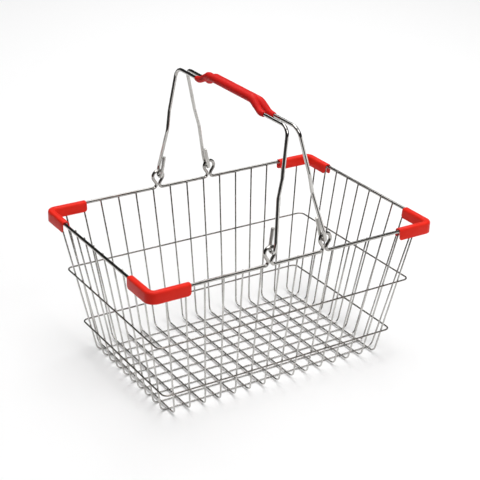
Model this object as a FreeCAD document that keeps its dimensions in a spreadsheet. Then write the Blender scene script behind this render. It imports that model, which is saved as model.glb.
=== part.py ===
import FreeCAD, Part
import math
import os
import re
import Sketcher

# Hand-held wire shopping basket, in millimetres.
#
# The basket stands on its wire bottom. The origin is at the middle of the bottom, +X runs along the
# length, +Y across the width and +Z up. The left handle is the one on the -X side of the middle.
#
# Every wire is a round bar bent to a planar route and swept. A route that is the same on both sides
# is drawn from its middle outwards and mirrored.

doc = FreeCAD.newDocument("WireBasket")

# ---------------------------------------------------------------------------------------------
# Driving dimensions
# ---------------------------------------------------------------------------------------------

SIZES = (
    # The rim: one heavy wire bent to a rounded rectangle, measured on its centre line.
    ("rim_length", 430.0),
    ("rim_width", 288.0),
    ("rim_height", 204.0),
    ("rim_wire", 4.5),
    ("rim_corner", 10.0),
    ("rim_join", 190.0),
    # The handle eyes, bent into the long sides of the rim.
    ("eye_spacing", 84.0),
    ("eye_shift", -3.4),
    ("eye_rise", 17.2),
    ("eye_radius", 8.1),
    ("eye_neck", 5.2),
    ("eye_foot", 5.0),
    # The mesh: U-shaped wires and two hoops, all from the same thin wire.
    ("mesh_wire", 2.3),
    ("mesh_bend", 9.0),
    ("mesh_rise", 0.6),
    ("weld_gap", 0.03),
    ("cross_rim_pitch", 27.5),
    ("cross_floor_pitch", 23.1),
    ("cross_floor_half", 109.9),
    ("length_rim_pitch", 26.4),
    ("length_floor_pitch", 20.3),
    ("length_floor_half", 171.4),
    ("upper_hoop_height", 118.7),
    ("lower_hoop_height", 38.8),
    ("hoop_corner", 8.0),
    # The handles: a wire bail each, with a plastic grip.
    ("handle_wire", 4.8),
    ("hinge_spacing", 78.8),
    ("hinge_rise", 16.5),
    ("left_lean", 8.2),
    ("right_lean", 14.75),
    ("bar_reach", 160.3),
    ("bar_half", 135.2),
    ("bar_corner", 13.5),
    ("grip_rise", 11.2),
    ("grip_flat_half", 54.0),
    ("grip_step", 19.0),
    ("grip_bend", 14.0),
    ("jog_upper_reach", 97.0),
    ("jog_upper_half", 140.7),
    ("jog_lower_reach", 70.0),
    ("jog_lower_half", 139.0),
    ("leg_bend", 20.0),
    ("leg_foot_reach", 15.0),
    ("hook_half", 5.1),
    ("hook_bend", 4.5),
    ("tail_reach", 31.0),
    ("tail_lean", 1.0),
    ("grip_diameter", 11.0),
    ("grip_half", 83.0),
    ("grip_gap", 0.02),
    # The corner caps: plastic channels, open below, pushed over the rim's corners.
    ("cap_long_arm", 55.0),
    ("cap_short_arm", 53.0),
    ("cap_wall", 1.2),
    ("cap_gap", 0.15),
    ("cap_top", 3.6),
    ("cap_outer_drop", 12.3),
    ("cap_inner_drop", 10.2),
    ("cap_inner_flare", 1.9),
    ("cap_edge", 0.9),
)

CROSS_WIRES = 15
LENGTH_WIRES = 10

sheet = doc.addObject("Spreadsheet::Sheet", "Size")
for row, (alias, number) in enumerate(SIZES, start=1):
    sheet.set(f"A{row}", alias)
    sheet.set(f"B{row}", str(number))
    sheet.setAlias(f"B{row}", alias)
doc.recompute()


def value(expression):
    """The number that an expression in the sheet's names comes to."""
    number = sheet.evalExpression(expression)
    return float(getattr(number, "Value", number))


def sized(expression):
    """The same expression as an object outside the sheet states it."""
    names = {alias for alias, number in SIZES}
    return re.sub(r"[a-z_]+", lambda word: "Size." * (word[0] in names) + word[0], expression)


# ---------------------------------------------------------------------------------------------
# Sketches and sweeps
# ---------------------------------------------------------------------------------------------

def origin_plane(body, role):
    return next(item for item in body.Origin.OriginFeatures if item.Role == role)


def new_body(label):
    body = doc.addObject("PartDesign::Body", label)
    body.Label = label
    return body


def new_sketch(body, name, role, lift=None):
    """A sketch on one of the body's own planes, moved along its normal by the expression lift."""
    sketch = body.newObject("Sketcher::SketchObject", name)
    sketch.AttachmentSupport = [(origin_plane(body, role), "")]
    sketch.MapMode = "FlatFace"
    if lift is not None:
        sketch.setExpression(".AttachmentOffset.Base.z", sized(lift))
    return sketch


def bind(sketch, kind, *where, expression):
    """A dimension of a sketch, bound to an expression in the sheet's names."""
    index = sketch.addConstraint(Sketcher.Constraint(kind, *where, value(expression)))
    sketch.setExpression(f"Constraints[{index}]", sized(expression))


def place_point(sketch, item, end, across, up):
    """Fixes one end of an item at a place measured from the sketch's origin."""
    bind(sketch, "DistanceX", -1, 1, item, end, expression=across)
    bind(sketch, "DistanceY", -1, 1, item, end, expression=up)


def add_line(sketch, first, last):
    return sketch.addGeometry(Part.LineSegment(first, last), False)


def add_arc(sketch, centre, radius, begin, finish):
    """An arc drawn anticlockwise between two directions from its centre."""
    circle = Part.Circle(centre, FreeCAD.Vector(0, 0, 1), radius)
    return sketch.addGeometry(Part.ArcOfCircle(circle, begin, finish), False)


def join_smoothly(sketch, first, first_end, second, second_end):
    sketch.addConstraint(Sketcher.Constraint("Tangent", first, first_end, second, second_end))


def rounded_route(sketch, corners, radii):
    """Straight runs through the corners, joined by tangent arcs, one radius for each inner corner."""
    points = [FreeCAD.Vector(value(across), value(up), 0) for across, up in corners]
    ends = [points[0]]
    arcs = []
    for before, corner, after, radius in zip(points, points[1:], points[2:], radii):
        back = (before - corner).normalize()
        ahead = (after - corner).normalize()
        half_turn = (math.pi - back.getAngle(ahead)) / 2
        size = value(radius)
        reach = size * math.tan(half_turn)
        centre = corner + (back + ahead).normalize() * (size / math.cos(half_turn))
        first = corner + back * reach
        last = corner + ahead * reach
        arcs.append((centre, size, first, last, back.cross(ahead).z < 0))
        ends += [first, last]
    ends.append(points[-1])

    runs = [add_line(sketch, first, last) for first, last in zip(ends[0::2], ends[1::2])]
    for turn, (centre, size, first, last, left_turn) in enumerate(arcs):
        spots = (first, last) if left_turn else (last, first)
        angles = [math.atan2(spot.y - centre.y, spot.x - centre.x) for spot in spots]
        arc = add_arc(sketch, centre, size, *angles)
        enter, leave = (1, 2) if left_turn else (2, 1)
        run, next_run = runs[turn], runs[turn + 1]
        join_smoothly(sketch, run, 2, arc, enter)
        join_smoothly(sketch, arc, leave, next_run, 1)
        bind(sketch, "Radius", arc, expression=radii[turn])
        mark = sketch.addGeometry(Part.Point(points[turn + 1]), True)
        sketch.addConstraint(Sketcher.Constraint("PointOnObject", mark, 1, run))
        sketch.addConstraint(Sketcher.Constraint("PointOnObject", mark, 1, next_run))
        place_point(sketch, mark, 1, *corners[turn + 1])
    place_point(sketch, runs[0], 1, *corners[0])
    place_point(sketch, runs[-1], 2, *corners[-1])


def add_circle(sketch, across, up, diameter):
    centre = FreeCAD.Vector(value(across), value(up), 0)
    circle = Part.Circle(centre, FreeCAD.Vector(0, 0, 1), value(diameter) / 2)
    item = sketch.addGeometry(circle, False)
    bind(sketch, "Diameter", item, expression=diameter)
    place_point(sketch, item, 3, across, up)


def sweep(body, name, section, route):
    pipe = body.newObject("PartDesign::AdditivePipe", name)
    pipe.Profile = section
    pipe.Spine = route
    body.Tip = pipe


def mirror(body, name, role, feature=None):
    """Adds a mirror image, across one of the body's planes, of one feature or of all there is."""
    image = body.newObject("PartDesign::Mirrored", name)
    image.MirrorPlane = (origin_plane(body, role), [""])
    if feature is None:
        image.TransformMode = "Whole shape"
    else:
        image.Originals = [feature]
    body.Tip = image


# ---------------------------------------------------------------------------------------------
# Rim: a heavy wire bent to a rounded rectangle, with two keyhole eyes in each long side
# ---------------------------------------------------------------------------------------------

def add_eye(sketch, place):
    """One eye of a long side: the wire turns up on a foot, leans out to a ring and comes back down.

    The two feet nearly touch at the eye's neck. Returns the left and the right foot.
    """
    level = value("rim_height")
    foot = value("eye_foot")
    ring = value("eye_radius")
    ring_centre = FreeCAD.Vector(value(place), level + value("eye_rise"), 0)
    spread = value("eye_neck / 2 + eye_foot")
    left_centre = FreeCAD.Vector(ring_centre.x - spread, level + foot, 0)
    right_centre = FreeCAD.Vector(ring_centre.x + spread, level + foot, 0)

    # The left leg is the common tangent that passes between the foot's arc and the ring.
    link = ring_centre - left_centre
    heading = math.atan2(link.y, link.x) + math.asin((ring + foot) / link.Length)
    foot_exit = heading - math.pi / 2
    ring_entry = heading + math.pi / 2

    def around(centre, radius, angle):
        return centre + FreeCAD.Vector(radius * math.cos(angle), radius * math.sin(angle), 0)

    left_foot = add_arc(sketch, left_centre, foot, -math.pi / 2, foot_exit)
    left_leg = add_line(
        sketch, around(left_centre, foot, foot_exit), around(ring_centre, ring, ring_entry))
    ring_arc = add_arc(sketch, ring_centre, ring, math.pi - ring_entry, ring_entry)
    right_leg = add_line(
        sketch,
        around(ring_centre, ring, math.pi - ring_entry),
        around(right_centre, foot, math.pi - foot_exit))
    right_foot = add_arc(sketch, right_centre, foot, math.pi - foot_exit, 3 * math.pi / 2)

    join_smoothly(sketch, left_foot, 2, left_leg, 1)
    join_smoothly(sketch, left_leg, 2, ring_arc, 2)
    join_smoothly(sketch, ring_arc, 1, right_leg, 1)
    join_smoothly(sketch, right_leg, 2, right_foot, 1)
    bind(sketch, "Radius", ring_arc, expression="eye_radius")
    place_point(sketch, ring_arc, 3, place, "rim_height + eye_rise")
    place_point(
        sketch, left_foot, 3, f"{place} - eye_neck / 2 - eye_foot", "rim_height + eye_foot")
    place_point(
        sketch, right_foot, 3, f"{place} + eye_neck / 2 + eye_foot", "rim_height + eye_foot")
    return left_foot, right_foot


def side_route(sketch):
    """A long side between the joints with the rim's ends: three level runs and an eye between each."""
    left_in, left_out = add_eye(sketch, "eye_shift - eye_spacing / 2")
    right_in, right_out = add_eye(sketch, "eye_shift + eye_spacing / 2")
    level = value("rim_height")

    def level_run(begin, finish):
        first = FreeCAD.Vector(value(begin), level, 0)
        last = FreeCAD.Vector(value(finish), level, 0)
        return add_line(sketch, first, last)

    spread = "eye_neck / 2 + eye_foot"
    left_run = level_run("-rim_join", f"eye_shift - eye_spacing / 2 - ({spread})")
    middle_run = level_run(
        f"eye_shift - eye_spacing / 2 + {spread}", f"eye_shift + eye_spacing / 2 - ({spread})")
    right_run = level_run(f"eye_shift + eye_spacing / 2 + {spread}", "rim_join")
    join_smoothly(sketch, left_run, 2, left_in, 1)
    join_smoothly(sketch, left_out, 2, middle_run, 1)
    join_smoothly(sketch, middle_run, 2, right_in, 1)
    join_smoothly(sketch, right_out, 2, right_run, 1)
    place_point(sketch, left_run, 1, "-rim_join", "rim_height")
    place_point(sketch, right_run, 2, "rim_join", "rim_height")


def make_rim():
    body = new_body("rim_wire")
    front_route = new_sketch(body, "RimSideRoute", "XZ_Plane", "rim_width / 2")
    side_route(front_route)
    front_section = new_sketch(body, "RimSideSection", "YZ_Plane", "-rim_join")
    add_circle(front_section, "-rim_width / 2", "rim_height", "rim_wire")
    sweep(body, "RimSide", front_section, front_route)

    end_route = new_sketch(body, "RimEndRoute", "XY_Plane", "rim_height")
    rounded_route(
        end_route,
        [("rim_length / 2", "0"),
         ("rim_length / 2", "-rim_width / 2"),
         ("rim_join", "-rim_width / 2")],
        ["rim_corner"])
    end_section = new_sketch(body, "RimEndSection", "XZ_Plane")
    add_circle(end_section, "rim_length / 2", "rim_height", "rim_wire")
    sweep(body, "RimEnd", end_section, end_route)
    mirror(body, "RimOtherEnd", "YZ_Plane", body.Tip)
    mirror(body, "RimFarSide", "XZ_Plane")
    return body


# ---------------------------------------------------------------------------------------------
# Mesh: U-shaped wires welded inside the rim. The lengthwise ones lie on the floor, the crosswise
# ones on top of them.
# ---------------------------------------------------------------------------------------------

MESH_TOP = "(rim_height + mesh_rise)"
TOUCH = "((rim_wire + mesh_wire) / 2 + weld_gap)"


def side_slope(rim_half, floor_half, floor_level):
    """How far a U's side leans out for each millimetre up, so that it touches the rim's inside."""
    run = f"({rim_half} - {floor_half})"
    rise = f"(rim_height - {floor_level})"
    return f"tan(atan({run} / {rise}) - asin({TOUCH} / sqrt({run}^2 + {rise}^2)))"


LENGTH_LEVEL = "(mesh_wire / 2)"
CROSS_LEVEL = "(mesh_wire * 1.5 + weld_gap)"
LENGTH_SLOPE = side_slope("rim_length / 2", "length_floor_half", LENGTH_LEVEL)
CROSS_SLOPE = side_slope("rim_width / 2", "cross_floor_half", CROSS_LEVEL)


def make_mesh_wire(label, along_x, steps, rim_pitch, floor_pitch, floor_half, level, slope):
    """One U-wire, steps pitches from the middle, drawn half and upright and then leaned.

    The sides fan out upwards, so the whole U leans about its floor run.
    """
    body = new_body(label)
    floor_place = f"{steps} * {floor_pitch}"
    lean = f"atan({steps} * ({rim_pitch} - {floor_pitch}) / (rim_height - {level}))"
    side = f"(({MESH_TOP} - {level}) / cos({lean}))"
    route = new_sketch(body, label + "_route", "XZ_Plane" if along_x else "YZ_Plane")
    rounded_route(
        route,
        [("0", "0"),
         (floor_half, "0"),
         (f"{floor_half} + ({MESH_TOP} - {level}) * {slope}", side)],
        ["mesh_bend"])
    section = new_sketch(body, label + "_section", "YZ_Plane" if along_x else "XZ_Plane")
    add_circle(section, "0", "0", "mesh_wire")
    sweep(body, label + "_half", section, route)
    mirror(body, label + "_whole", "YZ_Plane" if along_x else "XZ_Plane")

    axis = FreeCAD.Vector(-1, 0, 0) if along_x else FreeCAD.Vector(0, 1, 0)
    body.Placement = FreeCAD.Placement(FreeCAD.Vector(), FreeCAD.Rotation(axis, 1.0))
    body.setExpression(".Placement.Base.y" if along_x else ".Placement.Base.x", sized(floor_place))
    body.setExpression(".Placement.Base.z", sized(level))
    body.setExpression(".Placement.Rotation.Angle", sized(lean))
    return body


def make_hoop(label, level):
    """A rounded rectangle of thin wire, welded round the outside of the mesh at one height."""
    clear = "(mesh_wire + weld_gap)"
    long_half = (f"(length_floor_half + ({level} - {LENGTH_LEVEL}) * {LENGTH_SLOPE}"
                 f" + {clear} / cos(atan({LENGTH_SLOPE})))")
    cross_half = (f"(cross_floor_half + ({level} - {CROSS_LEVEL}) * {CROSS_SLOPE}"
                  f" + {clear} / cos(atan({CROSS_SLOPE})))")
    body = new_body(label)
    route = new_sketch(body, label + "_route", "XY_Plane", level)
    rounded_route(
        route,
        [(long_half, "0"), (long_half, cross_half), ("0", cross_half)],
        ["hoop_corner"])
    section = new_sketch(body, label + "_section", "XZ_Plane")
    add_circle(section, long_half, level, "mesh_wire")
    sweep(body, label + "_quarter", section, route)
    mirror(body, label + "_half", "XZ_Plane")
    mirror(body, label + "_whole", "YZ_Plane")
    return body


# ---------------------------------------------------------------------------------------------
# Handles: each a wire bail drawn in its own plane, Y along the hinge and Z up the legs. Its ends
# hook through the eyes from outside and fold back up.
# ---------------------------------------------------------------------------------------------

GRIP_REACH = "(bar_reach + grip_rise)"
GRIP_FLAT = [
    ("0", GRIP_REACH),
    ("grip_flat_half", GRIP_REACH),
    ("grip_flat_half + grip_step", "bar_reach"),
]
LEG_OUTSIDE = "(rim_width / 2 + hook_half)"
TAIL_INSIDE = "(rim_width / 2 - hook_half)"
HANDLES = {
    "left": ("eye_shift - hinge_spacing / 2", "left_lean"),
    "right": ("eye_shift + hinge_spacing / 2", "-right_lean"),
}


def lean_on_hinge(body, side):
    across, lean = HANDLES[side]
    turn = FreeCAD.Rotation(FreeCAD.Vector(0, 1, 0), value(lean))
    body.Placement = FreeCAD.Placement(FreeCAD.Vector(), turn)
    axis = "" if turn.Axis.y > 0 else "-"
    body.setExpression(".Placement.Base.x", sized(across))
    body.setExpression(".Placement.Base.z", sized("rim_height + hinge_rise"))
    body.setExpression(".Placement.Rotation.Angle", sized(f"{axis}({lean})"))


def make_handle_wire(side):
    body = new_body(side + "_handle_wire")
    route = new_sketch(body, side + "_handle_route", "YZ_Plane")
    rounded_route(
        route,
        GRIP_FLAT
        + [("bar_half", "bar_reach"),
           ("jog_upper_half", "jog_upper_reach"),
           ("jog_lower_half", "jog_lower_reach"),
           (LEG_OUTSIDE, "leg_foot_reach"),
           (LEG_OUTSIDE, "0"),
           (TAIL_INSIDE, "0"),
           (f"{TAIL_INSIDE} - tail_lean", "tail_reach")],
        ["grip_bend", "grip_bend", "bar_corner", "leg_bend", "leg_bend", "leg_bend",
         "hook_bend", "hook_bend"])
    section = new_sketch(body, side + "_handle_section", "XZ_Plane")
    add_circle(section, "0", GRIP_REACH, "handle_wire")
    sweep(body, side + "_handle_half", section, route)
    mirror(body, side + "_handle_whole", "XZ_Plane")
    lean_on_hinge(body, side)
    return body


def make_grip(side):
    """A moulded sleeve that follows the raised part of the bail's bar and both its steps."""
    body = new_body(side + "_grip")
    route = new_sketch(body, side + "_grip_route", "YZ_Plane")
    rounded_route(route, GRIP_FLAT + [("grip_half", "bar_reach")], ["grip_bend", "grip_bend"])
    section = new_sketch(body, side + "_grip_section", "XZ_Plane")
    add_circle(section, "0", GRIP_REACH, "grip_diameter")
    add_circle(section, "0", GRIP_REACH, "handle_wire + 2 * grip_gap")
    sweep(body, side + "_grip_half", section, route)
    mirror(body, side + "_grip_whole", "XZ_Plane")
    lean_on_hinge(body, side)
    return body


# ---------------------------------------------------------------------------------------------
# Corner caps: plastic channels, open below, over the rim's corners and the mesh's ends there
# ---------------------------------------------------------------------------------------------

CORNERS = {
    "front_right": (1, -1),
    "back_right": (1, 1),
    "front_left": (-1, -1),
    "back_left": (-1, 1),
}


def make_corner_cap(name):
    """The channel runs along the long side, round the corner and along the short side.

    It is drawn in the basket's own frame: its section stands at the end of the long arm and goes
    round the channel's inside and outside, all its corners being sharp but the two on top.
    """
    across, along = CORNERS[name]
    label = "corner_cap_" + name
    body = new_body(label)
    start = f"{across} * (rim_length / 2 - cap_long_arm)"
    body.setExpression(".Placement.Base.x", sized(start))
    corner = f"{across} * cap_long_arm"
    side = f"{along} * rim_width / 2"
    route = new_sketch(body, label + "_route", "XY_Plane", "rim_height")
    rounded_route(
        route,
        [("0", side), (corner, side), (corner, f"{along} * (rim_width / 2 - cap_short_arm)")],
        ["rim_corner"])

    outer_face = "(rim_wire / 2 + cap_gap)"
    inner_face = "(rim_wire / 2 + mesh_wire + cap_gap)"
    ceiling = "(rim_wire / 2 + cap_gap)"

    def spot(out, up):
        return (f"{along} * (rim_width / 2 + {out})", f"rim_height + {up}")

    outline = [
        spot(f"({outer_face} + cap_wall)", "cap_top"),
        spot(f"({outer_face} + cap_wall)", "(-cap_outer_drop)"),
        spot(outer_face, "(-cap_outer_drop)"),
        spot(outer_face, ceiling),
        spot(f"(-{inner_face})", ceiling),
        spot(f"(-{inner_face} - cap_inner_flare)", "(-cap_inner_drop)"),
        spot(f"(-{inner_face} - cap_inner_flare - cap_wall)", "(-cap_inner_drop)"),
        spot(f"(-{inner_face} - cap_wall)", "cap_top"),
    ]
    section = new_sketch(body, label + "_section", "YZ_Plane")
    points = [FreeCAD.Vector(value(out), value(up), 0) for out, up in outline]
    edges = [add_line(section, first, last) for first, last in zip(points, points[1:] + points[:1])]
    for edge, next_edge, (out, up) in zip(edges, edges[1:] + edges[:1], outline[1:] + outline[:1]):
        section.addConstraint(Sketcher.Constraint("Coincident", edge, 2, next_edge, 1))
        place_point(section, edge, 2, out, up)
    sweep(body, label + "_channel", section, route)
    doc.recompute()

    top = value("rim_height + cap_top")
    channel = body.Tip
    top_edges = [
        f"Edge{number}" for number, edge in enumerate(channel.Shape.Edges, start=1)
        if all(abs(point.z - top) < 0.001 for point in edge.discretize(3))
        and edge.Length > value("cap_short_arm / 2")]
    edge_round = body.newObject("PartDesign::Fillet", label + "_edges")
    edge_round.Base = (channel, top_edges)
    edge_round.setExpression("Radius", sized("cap_edge"))
    body.Tip = edge_round
    return body


# ---------------------------------------------------------------------------------------------
# The whole basket
# ---------------------------------------------------------------------------------------------

bodies = [make_rim()]
for number in range(CROSS_WIRES):
    bodies.append(make_mesh_wire(
        f"cross_wire_{number + 1:02d}", False, number - (CROSS_WIRES - 1) / 2,
        "cross_rim_pitch", "cross_floor_pitch", "cross_floor_half", CROSS_LEVEL, CROSS_SLOPE))
for number in range(LENGTH_WIRES):
    bodies.append(make_mesh_wire(
        f"length_wire_{number + 1:02d}", True, number - (LENGTH_WIRES - 1) / 2,
        "length_rim_pitch", "length_floor_pitch", "length_floor_half", LENGTH_LEVEL, LENGTH_SLOPE))
bodies.append(make_hoop("upper_hoop", "upper_hoop_height"))
bodies.append(make_hoop("lower_hoop", "lower_hoop_height"))
for handle in HANDLES:
    bodies.append(make_handle_wire(handle))
    bodies.append(make_grip(handle))
for corner_name in CORNERS:
    bodies.append(make_corner_cap(corner_name))
doc.recompute()

for item in doc.Objects:
    if {"Invalid", "Error"} & set(item.State):
        raise RuntimeError(f"{item.Label} did not compute: {item.State}")
for body in bodies:
    if body.Shape.isNull() or not body.Shape.isValid() or len(body.Shape.Solids) != 1:
        raise RuntimeError(f"{body.Label} is not one sound solid")

os.makedirs("parts", exist_ok=True)
for body in bodies:
    body.Shape.exportStep(f"parts/{body.Label}.step")
    print(f"{body.Label}: {body.Shape.Volume:.1f} mm3")
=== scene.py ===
import math

import bpy
from mathutils import Matrix, Vector


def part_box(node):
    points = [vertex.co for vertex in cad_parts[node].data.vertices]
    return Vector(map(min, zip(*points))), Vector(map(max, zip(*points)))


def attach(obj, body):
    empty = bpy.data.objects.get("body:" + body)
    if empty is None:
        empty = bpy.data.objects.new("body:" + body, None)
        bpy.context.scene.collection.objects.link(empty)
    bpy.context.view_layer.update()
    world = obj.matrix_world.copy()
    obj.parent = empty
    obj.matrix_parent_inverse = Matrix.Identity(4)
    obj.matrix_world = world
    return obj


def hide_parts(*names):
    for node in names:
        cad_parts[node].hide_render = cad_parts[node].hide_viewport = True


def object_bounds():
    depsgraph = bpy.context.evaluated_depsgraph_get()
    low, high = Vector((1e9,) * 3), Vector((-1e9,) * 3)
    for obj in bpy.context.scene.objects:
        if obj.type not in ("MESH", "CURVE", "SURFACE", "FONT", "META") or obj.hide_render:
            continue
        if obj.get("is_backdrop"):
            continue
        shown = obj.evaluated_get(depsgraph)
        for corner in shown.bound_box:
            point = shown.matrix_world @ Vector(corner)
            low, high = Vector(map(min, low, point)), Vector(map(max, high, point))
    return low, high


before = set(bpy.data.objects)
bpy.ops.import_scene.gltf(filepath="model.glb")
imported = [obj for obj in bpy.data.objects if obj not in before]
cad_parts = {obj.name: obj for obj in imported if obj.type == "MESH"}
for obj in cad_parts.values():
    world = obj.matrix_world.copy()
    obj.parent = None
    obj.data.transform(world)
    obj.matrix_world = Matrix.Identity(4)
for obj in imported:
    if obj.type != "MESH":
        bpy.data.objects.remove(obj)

cad_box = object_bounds()


# -----------------------------------------------------------------------------------------
# Rim: one heavy steel wire, bent flat to a rounded rectangle and butt-welded. Two keyhole
# eyes are bent up in each long side for the handles to hang in. It is bright chrome-plated.
# -----------------------------------------------------------------------------------------

heavy_thickness = 0.0045
rim_corner_bend = 0.010
eye_foot_bend = 0.005
eye_ring_bend = 0.0081
eye_neck = 0.0052
eye_apart = 0.084
eyes_off_middle = -0.0034
eye_rise = 0.0172


def start_wire(name, start, heading, thickness, sides):
    """A round section standing across the start of a wire, all of it selected."""
    bpy.ops.object.select_all(action="DESELECT")
    facing = heading.to_track_quat("Z", "Y").to_euler()
    bpy.ops.mesh.primitive_circle_add(
        vertices=sides, radius=thickness / 2, location=start, rotation=facing)
    wire = bpy.context.object
    wire.name = name
    wire.data.name = name
    bpy.ops.object.transform_apply(location=True, rotation=True, scale=True)
    bpy.context.tool_settings.mesh_select_mode = (True, False, False)
    bpy.ops.object.mode_set(mode="EDIT")
    bpy.ops.mesh.select_all(action="SELECT")
    return wire


class Bender:
    """Feeds a wire forward and bends it, as a bending machine does."""

    def __init__(self, name, start, heading, thickness, sides=16, finest=0.0012):
        self.at = start.copy()
        self.heading = heading.normalized()
        self.finest = finest
        self.wire = start_wire(name, self.at, self.heading, thickness, sides)

    def feed(self, length):
        run = self.heading * length
        bpy.ops.mesh.extrude_region_move(TRANSFORM_OT_translate={"value": run})
        self.at += run

    def bend(self, towards, radius, angle):
        """Turns the heading by an angle, towards a direction that it doesn't already have."""
        side = (towards - self.heading * towards.dot(self.heading)).normalized()
        axis = self.heading.cross(side)
        centre = self.at + side * radius
        steps = max(4, round(radius * angle / self.finest))
        bpy.ops.mesh.spin(steps=steps, angle=-angle, center=centre, axis=axis)
        turn = Matrix.Rotation(angle, 3, axis)
        self.at = centre + turn @ (self.at - centre)
        self.heading = turn @ self.heading

    def follow(self, corners, radii):
        """Goes round each corner but the last, where it stops."""
        places = [self.at.copy()] + corners
        for corner, beyond, radius in zip(places[1:], places[2:], radii):
            ahead = (beyond - corner).normalized()
            angle = self.heading.angle(ahead)
            cut = radius * math.tan(angle / 2)
            self.feed((corner - self.at).length - cut)
            self.bend(ahead, radius, angle)
        self.feed((places[-1] - self.at).length)

    def close(self):
        """Joins the end to the start, as the butt weld does."""
        bpy.ops.mesh.select_all(action="SELECT")
        bpy.ops.mesh.remove_doubles(threshold=0.00002)
        return self.done()

    def crop(self, chamfer):
        """Closes both ends with the slightly rounded faces that a cropper leaves."""
        bpy.ops.mesh.select_all(action="DESELECT")
        bpy.ops.mesh.select_non_manifold()
        bpy.ops.mesh.fill_holes(sides=0)
        bpy.ops.mesh.select_all(action="DESELECT")
        bpy.ops.mesh.select_face_by_sides(number=4, type="GREATER")
        bpy.ops.mesh.bevel(offset=chamfer, segments=2, affect="EDGES")
        return self.done()

    def done(self):
        bpy.ops.mesh.select_all(action="SELECT")
        bpy.ops.mesh.normals_make_consistent(inside=False)
        bpy.ops.object.mode_set(mode="OBJECT")
        bpy.ops.object.shade_smooth_by_angle(angle=math.radians(40))
        return self.wire


def new_material(name):
    """A material with its shader, and a place in the piece's own metres for its patterns."""
    material = bpy.data.materials.new(name)
    material.use_nodes = True
    nodes = material.node_tree.nodes
    shader = nodes["Principled BSDF"]
    place = nodes.new("ShaderNodeTexCoord")
    return material, nodes, material.node_tree.links, shader, place.outputs["Object"]


def add_noise(nodes, links, place, scale, detail=3.0, roughness=0.5, distortion=0.0):
    noise = nodes.new("ShaderNodeTexNoise")
    noise.inputs["Scale"].default_value = scale
    noise.inputs["Detail"].default_value = detail
    noise.inputs["Roughness"].default_value = roughness
    noise.inputs["Distortion"].default_value = distortion
    links.new(place, noise.inputs["Vector"])
    return noise.outputs["Fac"]


def add_ramp(nodes, links, factor, *stops):
    """A ramp of colours, or of greys where a stop gives one number."""
    ramp = nodes.new("ShaderNodeValToRGB")
    points = ramp.color_ramp.elements
    for index, (spot, colour) in enumerate(stops):
        point = points[index] if index < len(points) else points.new(spot)
        point.position = spot
        point.color = (*colour, 1.0) if isinstance(colour, tuple) else (colour,) * 3 + (1.0,)
    links.new(factor, ramp.inputs["Fac"])
    return ramp.outputs["Color"]


def add_bump(nodes, links, height, distance, strength, after=None):
    bump = nodes.new("ShaderNodeBump")
    bump.inputs["Distance"].default_value = distance
    bump.inputs["Strength"].default_value = strength
    links.new(height, bump.inputs["Height"])
    if after is not None:
        links.new(after, bump.inputs["Normal"])
    return bump.outputs["Normal"]


def calculate(nodes, links, kind, first, second=None):
    """A calculation on one or two values, each a socket or a number."""
    result = nodes.new("ShaderNodeMath")
    result.operation = kind
    for socket, given in zip(result.inputs, (first, second)):
        if isinstance(given, bpy.types.NodeSocket):
            links.new(given, socket)
        elif given is not None:
            socket.default_value = given
    return result.outputs["Value"]


def plated_steel(name, light, dark, smooth, rough, wave):
    """Chrome plate: thin cloudy patches, fine die lines and a few pits under the plate."""
    material, nodes, links, shader, place = new_material(name)
    shader.inputs["Metallic"].default_value = 1.0
    clouds = add_noise(nodes, links, place, scale=55.0, detail=5.0)
    tone = add_ramp(nodes, links, clouds, (0.35, dark), (0.62, light))
    links.new(tone, shader.inputs["Base Color"])
    grain = add_noise(nodes, links, place, scale=420.0, detail=6.0, roughness=0.65)
    haze = add_ramp(nodes, links, grain, (0.38, smooth), (0.70, rough))
    links.new(haze, shader.inputs["Roughness"])
    ripple = add_noise(nodes, links, place, scale=130.0, detail=2.0)
    soft = add_bump(nodes, links, ripple, distance=wave, strength=0.35)
    specks = add_noise(nodes, links, place, scale=1500.0)
    pits = add_ramp(nodes, links, specks, (0.28, 0.0), (0.36, 1.0))
    pitted = add_bump(nodes, links, pits, distance=0.00003, strength=0.35, after=soft)
    links.new(pitted, shader.inputs["Normal"])
    return material


bright_chrome = plated_steel(
    "bright_chrome", light=(0.46, 0.445, 0.425), dark=(0.36, 0.345, 0.325),
    smooth=0.06, rough=0.16, wave=0.00025)


def finish_piece(piece, material, body, slot, *nodes):
    """Puts a piece's material on it, hangs it on its body and lets it stand for CAD nodes."""
    piece.data.materials.clear()
    piece.data.materials.append(material)
    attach(piece, body)
    if nodes:
        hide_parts(*nodes)


rim_low, rim_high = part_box("rim_wire")
rim_level = rim_low[2] + heavy_thickness / 2
rim_half_length = rim_high[0] - heavy_thickness / 2
rim_half_width = rim_high[1] - heavy_thickness / 2
up = Vector((0, 0, 1))

# An eye's leg is the common tangent of its foot bend and its ring.
eye_foot_apart = eye_neck / 2 + eye_foot_bend
eye_link = math.hypot(eye_foot_apart, eye_rise - eye_foot_bend)
eye_lap = eye_ring_bend + eye_foot_bend
eye_leg = math.sqrt(eye_link ** 2 - eye_lap ** 2)
eye_turn = math.atan2(eye_rise - eye_foot_bend, eye_foot_apart) + math.asin(eye_lap / eye_link)


def bend_eye(rim, along):
    """A foot, a leg, the ring over the top, a leg and a foot, from along the side and back."""
    rim.bend(up, eye_foot_bend, eye_turn)
    rim.feed(eye_leg)
    rim.bend(along, eye_ring_bend, 2 * eye_turn)
    rim.feed(eye_leg)
    rim.bend(along, eye_foot_bend, eye_turn)


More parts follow.
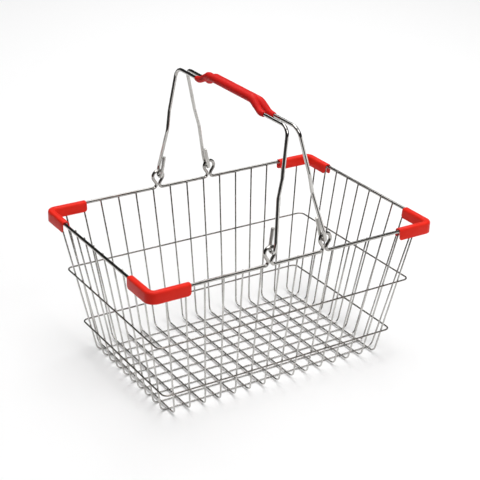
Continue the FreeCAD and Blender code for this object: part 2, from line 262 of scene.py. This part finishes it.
rim = Bender(
    "rim_wire_plated", Vector((rim_half_length, 0, rim_level)), Vector((0, -1, 0)),
    heavy_thickness, sides=20, finest=0.0008)
end_run = rim_half_width - rim_corner_bend
middle_run = eye_apart - 2 * eye_foot_apart
side_run = rim_half_length - rim_corner_bend - eye_apart / 2 - eye_foot_apart
for along in (Vector((-1, 0, 0)), Vector((1, 0, 0))):
    rim.feed(end_run)
    rim.bend(along, rim_corner_bend, math.pi / 2)
    rim.feed(side_run + eyes_off_middle * along.x)
    bend_eye(rim, along)
    rim.feed(middle_run)
    bend_eye(rim, along)
    rim.feed(side_run - eyes_off_middle * along.x)
    rim.bend(along.cross(up), rim_corner_bend, math.pi / 2)
    rim.feed(end_run)
finish_piece(rim.close(), bright_chrome, "basket", "bright_wire", "rim_wire")


# -----------------------------------------------------------------------------------------
# Mesh: thin U-bent wires whose ends are welded to the inside of the rim. Ten lengthwise ones
# make the underside of the floor and fifteen crosswise ones lie on them. The plate is duller.
# -----------------------------------------------------------------------------------------

mesh_thickness = 0.0023
mesh_bend = 0.009
mesh_chamfer = 0.00025
floor_half_width = 0.1099
floor_half_length = 0.17135

satin_chrome = plated_steel(
    "satin_chrome", light=(0.57, 0.56, 0.54), dark=(0.44, 0.43, 0.415),
    smooth=0.18, rough=0.32, wave=0.0003)


def lean_of(low, high):
    """Where a U's floor run and its leaned ends are, across the U."""
    middle = (low + high) / 2
    lean = math.copysign((high - low - mesh_thickness) / 2, middle)
    return middle - lean, middle + lean


def bend_mesh_wire(node, place, floor_half):
    """place turns (across, along, height) into the row's own frame."""
    low, high = (place(Vector(corner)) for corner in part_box(node))
    floor_across, top_across = lean_of(low[0], high[0])
    radius = mesh_thickness / 2
    floor_level = low[2] + radius
    top_half = high[1] - radius
    top_level = high[2]
    corners = [
        (top_across, top_half, top_level),
        (floor_across, floor_half, floor_level),
        (floor_across, -floor_half, floor_level),
        (top_across, -top_half, top_level)]
    corners = [place(Vector(corner)) for corner in corners]
    sweep = Bender(node + "_plated", corners[0], corners[1] - corners[0], mesh_thickness)
    sweep.follow(corners[1:], [mesh_bend, mesh_bend])
    finish_piece(sweep.crop(mesh_chamfer), satin_chrome, "basket", "mesh_wire", node)


def as_it_is(corner):
    return corner


def x_for_y(corner):
    return Vector((corner.y, corner.x, corner.z))


cross_wires = [f"cross_wire_{number:02d}" for number in range(1, 16)]
length_wires = [f"length_wire_{number:02d}" for number in range(1, 11)]
for node in cross_wires:
    bend_mesh_wire(node, as_it_is, floor_half_width)
for node in length_wires:
    bend_mesh_wire(node, x_for_y, floor_half_length)


# -----------------------------------------------------------------------------------------
# Hoops: two thin wires bent to rounded rectangles and welded round the outside of the mesh,
# which they hold to its shape. Their plate has a slightly warm tone.
# -----------------------------------------------------------------------------------------

hoop_bend = 0.008

warm_chrome = plated_steel(
    "warm_chrome", light=(0.31, 0.29, 0.27), dark=(0.215, 0.195, 0.18),
    smooth=0.16, rough=0.30, wave=0.0003)

for node in ("upper_hoop", "lower_hoop"):
    low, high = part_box(node)
    level = (low[2] + high[2]) / 2
    half_length = high[0] - mesh_thickness / 2
    half_width = high[1] - mesh_thickness / 2
    hoop = Bender(
        node + "_plated", Vector((half_length, 0, level)), Vector((0, 1, 0)), mesh_thickness)
    hoop.follow(
        [Vector((half_length, half_width, level)),
         Vector((-half_length, half_width, level)),
         Vector((-half_length, -half_width, level)),
         Vector((half_length, -half_width, level)),
         Vector((half_length, 0, level))],
        [hoop_bend] * 4)
    finish_piece(hoop.close(), warm_chrome, "basket", "hoop_wire", node)


# -----------------------------------------------------------------------------------------
# Handles: each is one heavy wire bail. Its bar rises in the middle under the grip, its legs
# are set in and out again on the way down, and its ends hook through the rim's eyes from
# outside and fold back up beside the legs.
# -----------------------------------------------------------------------------------------

handle_thickness = 0.0048
hinge_rise = 0.0165
hinge_level = rim_level + hinge_rise
bar_reach = 0.1603
bar_half = 0.1352
grip_reach = bar_reach + 0.0112
grip_flat_half = 0.054
grip_step_half = 0.073
grip_bend = 0.014
bar_corner_bend = 0.0135
leg_waist_half = 0.1407
leg_waist_reach = 0.097
leg_knee_half = 0.139
leg_knee_reach = 0.070
leg_bend = 0.020
hook_top = 0.015
hook_half = 0.0051
hook_bend = 0.0045
tail_set_in = 0.001
tail_reach = 0.031
crop_chamfer = 0.0005

# From the grip to the cropped end: distance across, distance from the hinge.
handle_half = [
    (grip_flat_half, grip_reach),
    (grip_step_half, bar_reach),
    (bar_half, bar_reach),
    (leg_waist_half, leg_waist_reach),
    (leg_knee_half, leg_knee_reach),
    (rim_half_width + hook_half, hook_top),
    (rim_half_width + hook_half, 0),
    (rim_half_width - hook_half, 0),
    (rim_half_width - hook_half - tail_set_in, tail_reach)]
handle_bends = [
    grip_bend, grip_bend, bar_corner_bend, leg_bend, leg_bend, leg_bend, hook_bend, hook_bend]

# Where each hinge is along the basket, and how many degrees its handle leans at rest.
handles = {"left_handle": (-0.0428, 8.2), "right_handle": (0.0360, -14.75)}


def on_handle(handle, across, reach):
    """A place in a bail's own plane, leaned about its hinge."""
    hinge_x, lean = handles[handle]
    turned = Matrix.Rotation(math.radians(lean), 3, "Y") @ Vector((0, across, reach))
    return turned + Vector((hinge_x, 0, hinge_level))


# The folded tails are rougher and lose their shine, and a painted highlight makes them paler:
# they lie within this half width and below this level.
tail_half = 0.1422
tail_level = hinge_level + 0.034
tail_extra_roughness = 0.42
tail_painted_highlight_tone = (0.70, 0.69, 0.66, 1.0)

handle_chrome = plated_steel(
    "handle_chrome", light=(0.55, 0.54, 0.52), dark=(0.45, 0.435, 0.415),
    smooth=0.04, rough=0.12, wave=0.00025)
nodes = handle_chrome.node_tree.nodes
links = handle_chrome.node_tree.links
handle_shader = nodes["Principled BSDF"]
spot = nodes.new("ShaderNodeSeparateXYZ")
links.new(nodes["Texture Coordinate"].outputs["Object"], spot.inputs["Vector"])
across = calculate(nodes, links, "ABSOLUTE", spot.outputs["Y"])
inside = calculate(nodes, links, "LESS_THAN", across, tail_half)
low_down = calculate(nodes, links, "LESS_THAN", spot.outputs["Z"], tail_level)
tail = calculate(nodes, links, "MULTIPLY", inside, low_down)
dull = calculate(nodes, links, "MULTIPLY", tail, tail_extra_roughness)
plain_rough = handle_shader.inputs["Roughness"].links[0].from_socket
rougher = calculate(nodes, links, "ADD", plain_rough, dull)
links.new(rougher, handle_shader.inputs["Roughness"])
# Painted highlight: within the tails' mask the base colour is mixed towards a pale tone.
pale = nodes.new("ShaderNodeMix")
pale.data_type = "RGBA"
links.new(tail, pale.inputs["Factor"])
links.new(handle_shader.inputs["Base Color"].links[0].from_socket, pale.inputs["A"])
pale.inputs["B"].default_value = tail_painted_highlight_tone
links.new(pale.outputs["Result"], handle_shader.inputs["Base Color"])

for handle in handles:
    far_side = [(-across, reach) for across, reach in reversed(handle_half)]
    route = [on_handle(handle, *spot) for spot in far_side + handle_half]
    bail = Bender(
        handle + "_wire_plated", route[0], route[1] - route[0], handle_thickness,
        sides=20, finest=0.0009)
    bail.follow(route[1:], handle_bends[::-1] + handle_bends)
    finish_piece(
        bail.crop(crop_chamfer), handle_chrome, handle, "bright_wire", handle + "_wire")


# -----------------------------------------------------------------------------------------
# Welds: each crossing of two wires is a resistance weld, a small squeezed bead of steel where
# they touch. There is one on every floor crossing, hoop crossing and wire end.
# -----------------------------------------------------------------------------------------

weld_width = 0.0022
weld_height = 0.0013

weld_plate = plated_steel(
    "weld_plate", light=(0.50, 0.49, 0.47), dark=(0.30, 0.29, 0.27),
    smooth=0.16, rough=0.34, wave=0.0004)


def wire_line(node, place):
    """Where a mesh wire lies across at the floor and the rim, its floor level, and its end."""
    low, high = (place(Vector(corner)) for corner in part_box(node))
    floor_across, top_across = lean_of(low[0], high[0])
    return floor_across, top_across, low[2] + mesh_thickness / 2, high[1], high[2]


def weld_places():
    """Every crossing: its group, its place and the way in which the two wires lie apart."""
    crosses = [wire_line(node, as_it_is) for node in cross_wires]
    lengths = [wire_line(node, x_for_y) for node in length_wires]
    for x, _, cross_level, _, _ in crosses:
        for y, _, length_level, _, _ in lengths:
            yield "floor_welds", Vector((x, y, (cross_level + length_level) / 2)), up
    levels = [("rim_welds", rim_level, rim_half_length, rim_half_width)]
    for node in ("upper_hoop", "lower_hoop"):
        low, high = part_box(node)
        radius = mesh_thickness / 2
        levels.append(("hoop_welds", low[2] + radius, high[0] - radius, high[1] - radius))
    for group, level, half_length, half_width in levels:
        for lines, place, floor_half, reach in (
                (crosses, as_it_is, floor_half_width, half_width),
                (lengths, x_for_y, floor_half_length, half_length)):
            for floor_across, top_across, floor_level, top_half, top_level in lines:
                share = (level - floor_level) / (top_level - floor_level)
                across = floor_across + (top_across - floor_across) * share
                wire_half = floor_half + (top_half - mesh_thickness / 2 - floor_half) * share
                outer = heavy_thickness if group == "rim_welds" else mesh_thickness
                inward = (reach - wire_half) * outer / (outer + mesh_thickness)
                for side in (1, -1):
                    spot = Vector((across, side * (reach - inward), level))
                    yield group, place(spot), place(Vector((0, 1, 0)))


bpy.ops.object.select_all(action="DESELECT")
bpy.ops.mesh.primitive_uv_sphere_add(segments=10, ring_count=6, radius=weld_width / 2)
bead = bpy.context.object
bpy.ops.object.mode_set(mode="EDIT")
bpy.ops.mesh.select_all(action="SELECT")
bpy.ops.transform.resize(value=(1, 1, weld_height / weld_width))
bpy.ops.object.mode_set(mode="OBJECT")
bpy.ops.object.shade_smooth()
groups = {}
for group, spot, apart in weld_places():
    copy = bpy.data.objects.new(group, bead.data.copy())
    bpy.context.collection.objects.link(copy)
    turn = apart.to_track_quat("Z", "X").to_matrix().to_4x4()
    copy.data.transform(Matrix.Translation(spot) @ turn)
    groups.setdefault(group, []).append(copy)
bpy.data.objects.remove(bead)
for group, beads in groups.items():
    bpy.ops.object.select_all(action="DESELECT")
    for copy in beads:
        copy.select_set(True)
    bpy.context.view_layer.objects.active = beads[0]
    bpy.ops.object.join()
    finish_piece(bpy.context.object, weld_plate, "basket", "mesh_wire")


# -----------------------------------------------------------------------------------------
# Corner caps: red plastic channels, moulded open below, that snap down over the rim's corners
# and cover the wires' ends there. The walls are even and every edge is softened.
# -----------------------------------------------------------------------------------------

cap_wall = 0.0012
cap_top_above_rim = 0.0036
cap_outer_drop = 0.0123
cap_inner_drop = 0.0102
cap_flare = 0.0019
cap_shoulder = 0.0032
cap_end_round = 0.0042
cap_lip_round = 0.0004
cap_clearance = 0.00015
cap_end_rounds_below = 0.004


def moulded_red(name, colour, worn, smooth, rough):
    """Moulded plastic: flow clouds in its colour, shallow sink marks, scuffs and a fine grain."""
    material, nodes, links, shader, place = new_material(name)
    shader.inputs["IOR"].default_value = 1.49
    shader.inputs["Specular IOR Level"].default_value = 0.10
    shader.inputs["Subsurface Weight"].default_value = 0.06
    shader.inputs["Subsurface Radius"].default_value = (0.004, 0.0008, 0.0005)
    flow = add_noise(nodes, links, place, scale=38.0, detail=4.0, distortion=0.6)
    tone = add_ramp(nodes, links, flow, (0.30, colour), (0.72, worn))
    links.new(tone, shader.inputs["Base Color"])
    scuff = add_noise(nodes, links, place, scale=260.0, detail=7.0, roughness=0.7)
    haze = add_ramp(nodes, links, scuff, (0.40, smooth), (0.68, rough))
    links.new(haze, shader.inputs["Roughness"])
    sink = add_noise(nodes, links, place, scale=75.0, detail=1.0)
    soft = add_bump(nodes, links, sink, distance=0.0006, strength=0.30)
    grain = add_noise(nodes, links, place, scale=2600.0, detail=2.0)
    grained = add_bump(nodes, links, grain, distance=0.00002, strength=0.25, after=soft)
    links.new(grained, shader.inputs["Normal"])
    return material


cap_red = moulded_red(
    "cap_red", colour=(0.77, 0.022, 0.012), worn=(0.84, 0.029, 0.016), smooth=0.30, rough=0.42)

cap_low, cap_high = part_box("corner_cap_front_right")
cap_outside = -cap_low[1]
cap_start = cap_low[0]
cap_finish = cap_high[1]
cap_top = rim_level + cap_top_above_rim
cap_depth = heavy_thickness / 2 + mesh_thickness + cap_clearance + cap_wall
cap_inside = rim_half_width - cap_depth
cap_middle = (cap_outside + cap_inside) / 2
corner_x = rim_half_length - rim_corner_bend
corner_y = -(rim_half_width - rim_corner_bend)

bpy.ops.object.select_all(action="DESELECT")
bpy.ops.mesh.primitive_cube_add(
    size=1,
    location=(
        (cap_start + corner_x) / 2, -cap_middle, cap_top - cap_outer_drop / 2),
    scale=(corner_x - cap_start, cap_outside - cap_inside, cap_outer_drop))
cap = bpy.context.object
cap.name = "corner_cap_front_right_moulding"
bpy.ops.object.transform_apply(location=True, rotation=True, scale=True)


def choose_parts(piece, kind, wanted):
    """Selects only the vertices, edges or faces whose middle is wanted."""
    bpy.ops.object.mode_set(mode="OBJECT")
    mesh = piece.data
    kinds = ("vertices", "edges", "polygons")
    bpy.context.tool_settings.mesh_select_mode = [kind == other for other in kinds]
    for other in kinds:
        group = getattr(mesh, other)
        group.foreach_set("select", [False] * len(group))
    for part in getattr(mesh, kind):
        if kind == "vertices":
            middle = part.co
        else:
            ends = [mesh.vertices[corner].co for corner in part.vertices]
            middle = sum(ends, Vector()) / len(ends)
        part.select = bool(wanted(middle))
    bpy.ops.object.mode_set(mode="EDIT")


def same(one, other):
    """Two lengths that differ by less than a twentieth of a millimetre."""
    return abs(one - other) < 0.00005


# The open ends and underside go, and the walls are drawn down to their own depths.
cap_bottom = cap_top - cap_outer_drop
choose_parts(cap, "polygons", lambda spot: (
    same(spot.z, cap_bottom) or same(spot.x, cap_start) or same(spot.x, corner_x)))
bpy.ops.mesh.delete(type="FACE")
choose_parts(cap, "vertices", lambda spot: (
    same(spot.z, cap_bottom) and same(spot.y, -cap_outside)))
bpy.ops.transform.translate(value=(0, 0, -cap_top_above_rim))
choose_parts(cap, "vertices", lambda spot: (
    not same(spot.z, cap_top) and same(spot.y, -cap_inside)))
bpy.ops.transform.translate(
    value=(0, cap_flare, cap_outer_drop - cap_inner_drop - cap_top_above_rim))
choose_parts(cap, "edges", lambda spot: same(spot.z, cap_top) and not same(spot.y, -cap_middle))
bpy.ops.mesh.bevel(offset=cap_shoulder, segments=5, affect="EDGES")

# The channel is swept round the corner, run on along the other side, and its ends are rounded.
choose_parts(cap, "edges", lambda spot: same(spot.x, corner_x))
bpy.ops.mesh.spin(
    steps=14, angle=-math.pi / 2, center=(corner_x, corner_y, rim_level), axis=(0, 0, 1))
bpy.ops.mesh.extrude_region_move(
    TRANSFORM_OT_translate={"value": (0, cap_finish - corner_y, 0)})
choose_parts(cap, "vertices", lambda spot: (
    spot.z < rim_level - cap_end_rounds_below
    and (same(spot.x, cap_start) or same(spot.y, cap_finish))))
bpy.ops.mesh.bevel(offset=cap_end_round, segments=6, affect="VERTICES")
bpy.ops.mesh.select_all(action="SELECT")
bpy.ops.mesh.normals_make_consistent(inside=False)
bpy.ops.object.mode_set(mode="OBJECT")
walls_of_cap = cap.modifiers.new("walls", "SOLIDIFY")
walls_of_cap.thickness = cap_wall
walls_of_cap.offset = -1.0
walls_of_cap.use_even_offset = True
bpy.ops.object.modifier_apply(modifier="walls")
lips_of_cap = cap.modifiers.new("lips", "BEVEL")
lips_of_cap.width = cap_lip_round
lips_of_cap.segments = 3
lips_of_cap.limit_method = "ANGLE"
lips_of_cap.angle_limit = math.radians(50)
bpy.ops.object.modifier_apply(modifier="lips")
bpy.ops.object.shade_smooth_by_angle(angle=math.radians(35))

corners = {
    "front_right": (1, 1), "front_left": (-1, 1), "back_right": (1, -1), "back_left": (-1, -1)}
moulding = cap.data.copy()
for corner, (across, along) in corners.items():
    if corner != "front_right":
        cap = bpy.data.objects.new(f"corner_cap_{corner}_moulding", moulding.copy())
        bpy.context.collection.objects.link(cap)
        cap.data.transform(Matrix.Diagonal((across, along, 1, 1)))
        if across * along < 0:
            cap.data.flip_normals()
    finish_piece(cap, cap_red, "basket", "cap_plastic", f"corner_cap_{corner}")


# -----------------------------------------------------------------------------------------
# Grips: soft red sleeves moulded on to the raised middles of the two bars. Each follows the
# bar's steps, is fullest in the middle and thins to a rounded mouth where the wire comes out.
# -----------------------------------------------------------------------------------------

grip_half = 0.083
grip_full = 0.011
grip_slope_middle = 0.0098
grip_foot = 0.0085
grip_mouth = 0.0064
grip_mouth_round = 0.0006
grip_flat_parts = 5

# How far from the mouth, and how thick there.
grip_stations = [(0.0006, 0.0072), (0.0030, 0.0077)]

grip_red = moulded_red(
    "grip_red", colour=(0.61, 0.014, 0.012), worn=(0.69, 0.020, 0.016), smooth=0.44, rough=0.58)


def resize_end(sleeve, old, new):
    """Swells or thins the section that the sleeve has reached."""
    bpy.ops.transform.resize(value=(new / old,) * 3, center_override=sleeve.at)


grip_rise = grip_reach - bar_reach
grip_step = grip_step_half - grip_flat_half
grip_rise_angle = math.atan2(grip_rise, grip_step)
grip_cut = grip_bend * math.tan(grip_rise_angle / 2)
grip_slope = math.hypot(grip_rise, grip_step) - 2 * grip_cut
grip_tail = grip_half - grip_step_half - grip_cut
grip_flat = 2 * (grip_flat_half - grip_cut)
along = Vector((0, 1, 0))
for handle in handles:
    grip = handle.replace("handle", "grip")
    outward = on_handle(handle, 0, 1) - on_handle(handle, 0, 0)
    sleeve = Bender(
        grip + "_sleeve", on_handle(handle, -grip_half, bar_reach), along, grip_mouth,
        finest=0.0018)
    size = grip_mouth
    done = 0.0
    for station, width in grip_stations:
        sleeve.feed(station - done)
        resize_end(sleeve, size, width)
        size, done = width, station
    sleeve.feed(grip_tail - done)
    resize_end(sleeve, size, grip_foot)
    sleeve.bend(outward, grip_bend, grip_rise_angle)
    sleeve.feed(grip_slope / 2)
    resize_end(sleeve, grip_foot, grip_slope_middle)
    sleeve.feed(grip_slope / 2)
    resize_end(sleeve, grip_slope_middle, grip_full)
    sleeve.bend(along, grip_bend, grip_rise_angle)
    for part in range(grip_flat_parts):
        sleeve.feed(grip_flat / grip_flat_parts)
    sleeve.bend(-outward, grip_bend, grip_rise_angle)
    resize_end(sleeve, grip_full, grip_slope_middle)
    sleeve.feed(grip_slope / 2)
    sleeve.feed(grip_slope / 2)
    resize_end(sleeve, grip_slope_middle, grip_foot)
    sleeve.bend(along, grip_bend, grip_rise_angle)
    size, done = grip_foot, grip_tail
    for station, width in reversed(grip_stations):
        sleeve.feed(done - station)
        resize_end(sleeve, size, width)
        size, done = width, station
    sleeve.feed(done)
    resize_end(sleeve, size, grip_mouth)
    finish_piece(sleeve.crop(grip_mouth_round), grip_red, handle, "grip_plastic", grip)


# -----------------------------------------------------------------------------------------
# Stage: a plain pale floor of matt paper, four large softboxes in a dim studio that gives the
# chrome its dark streaks, and the camera, which looks down into the basket from the front left.
# -----------------------------------------------------------------------------------------

bpy.ops.object.select_all(action="DESELECT")
bpy.ops.mesh.primitive_circle_add(
    vertices=128, radius=1.62, location=(0.52, 0.81, 0), fill_type="NGON")
bpy.ops.object.transform_apply(location=True, rotation=True, scale=True)
floor = bpy.context.object
floor.name = "floor"
paper, _, _, shader, _ = new_material("pale_paper")
shader.inputs["Base Color"].default_value = (0.93, 0.93, 0.93, 1.0)
shader.inputs["Roughness"].default_value = 0.9
floor.data.materials.append(paper)
floor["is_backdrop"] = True

studio = bpy.data.worlds.new("studio")
studio.use_nodes = True
bpy.context.scene.world = studio
nodes = studio.node_tree.nodes
links = studio.node_tree.links
backdrop = nodes["Background"]
direction = nodes.new("ShaderNodeTexCoord")
split = nodes.new("ShaderNodeSeparateXYZ")
links.new(direction.outputs["Generated"], split.inputs["Vector"])

# Dark walls and a bright ceiling, by how steeply a direction climbs.
walls = add_ramp(
    nodes, links, split.outputs["Z"],
    (0.0, 0.06), (0.10, 0.03), (0.74, 0.04), (0.88, 0.85), (1.0, 1.00))
links.new(walls, backdrop.inputs["Color"])

# Looked at directly, the backdrop is white.
seen = nodes.new("ShaderNodeBackground")
seen.inputs["Color"].default_value = (1.0, 1.0, 1.0, 1.0)
choose = nodes.new("ShaderNodeMixShader")
looked_at = nodes.new("ShaderNodeLightPath")
links.new(looked_at.outputs["Is Camera Ray"], choose.inputs["Fac"])
links.new(backdrop.outputs["Background"], choose.inputs[1])
links.new(seen.outputs["Background"], choose.inputs[2])
links.new(choose.outputs["Shader"], nodes["World Output"].inputs["Surface"])


def add_softbox(name, spot, towards, size, power):
    lamp = bpy.data.lights.new(name, "AREA")
    lamp.shape = "RECTANGLE"
    lamp.size, lamp.size_y = size
    lamp.energy = power
    box = bpy.data.objects.new(name, lamp)
    box.location = spot
    aim = Vector(towards) - Vector(spot)
    box.rotation_euler = aim.to_track_quat("-Z", "Y").to_euler()
    bpy.context.collection.objects.link(box)


add_softbox("key_softbox", (0.15, -1.9, 2.0), (0, 0, 0.15), (1.3, 1.3), 26.0)
add_softbox("top_softbox", (-0.3, 0.1, 2.8), (0, 0, 0.15), (1.8, 1.8), 31.0)
add_softbox("side_softbox", (0.966, -0.624, 0.12), (0, 0, 0.12), (1.8, 0.24), 1.7)
add_softbox("back_softbox", (1.1, 1.6, 2.4), (1.1, 1.6, 0), (1.8, 1.8), 34.0)

camera_spot = Vector((-0.8592, -1.3336, 0.9073))
camera_azimuth = math.radians(-32.874)
camera_elevation = math.radians(24.94)
camera_roll = math.radians(1.528)
lens_in_frames = 2.6725

right = Vector((math.cos(camera_azimuth), math.sin(camera_azimuth), 0))
back = Vector((
    math.sin(camera_azimuth) * math.cos(camera_elevation),
    -math.cos(camera_azimuth) * math.cos(camera_elevation),
    math.sin(camera_elevation)))
level_up = back.cross(right)
rolled_right = right * math.cos(camera_roll) + level_up * math.sin(camera_roll)
rolled_up = level_up * math.cos(camera_roll) - right * math.sin(camera_roll)
lens = bpy.data.cameras.new("camera")
lens.sensor_width = 36.0
lens.lens = lens.sensor_width * lens_in_frames
camera = bpy.data.objects.new("camera", lens)
bpy.context.collection.objects.link(camera)
camera.matrix_world = Matrix((
    (rolled_right.x, rolled_up.x, back.x, camera_spot.x),
    (rolled_right.y, rolled_up.y, back.y, camera_spot.y),
    (rolled_right.z, rolled_up.z, back.z, camera_spot.z),
    (0, 0, 0, 1)))
bpy.context.scene.camera = camera
bpy.context.scene.view_settings.view_transform = "Standard"

boxes = {"cad": cad_box, "visual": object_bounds()}
sizes = {name: [list(map(float, corner)) for corner in box] for name, box in boxes.items()}
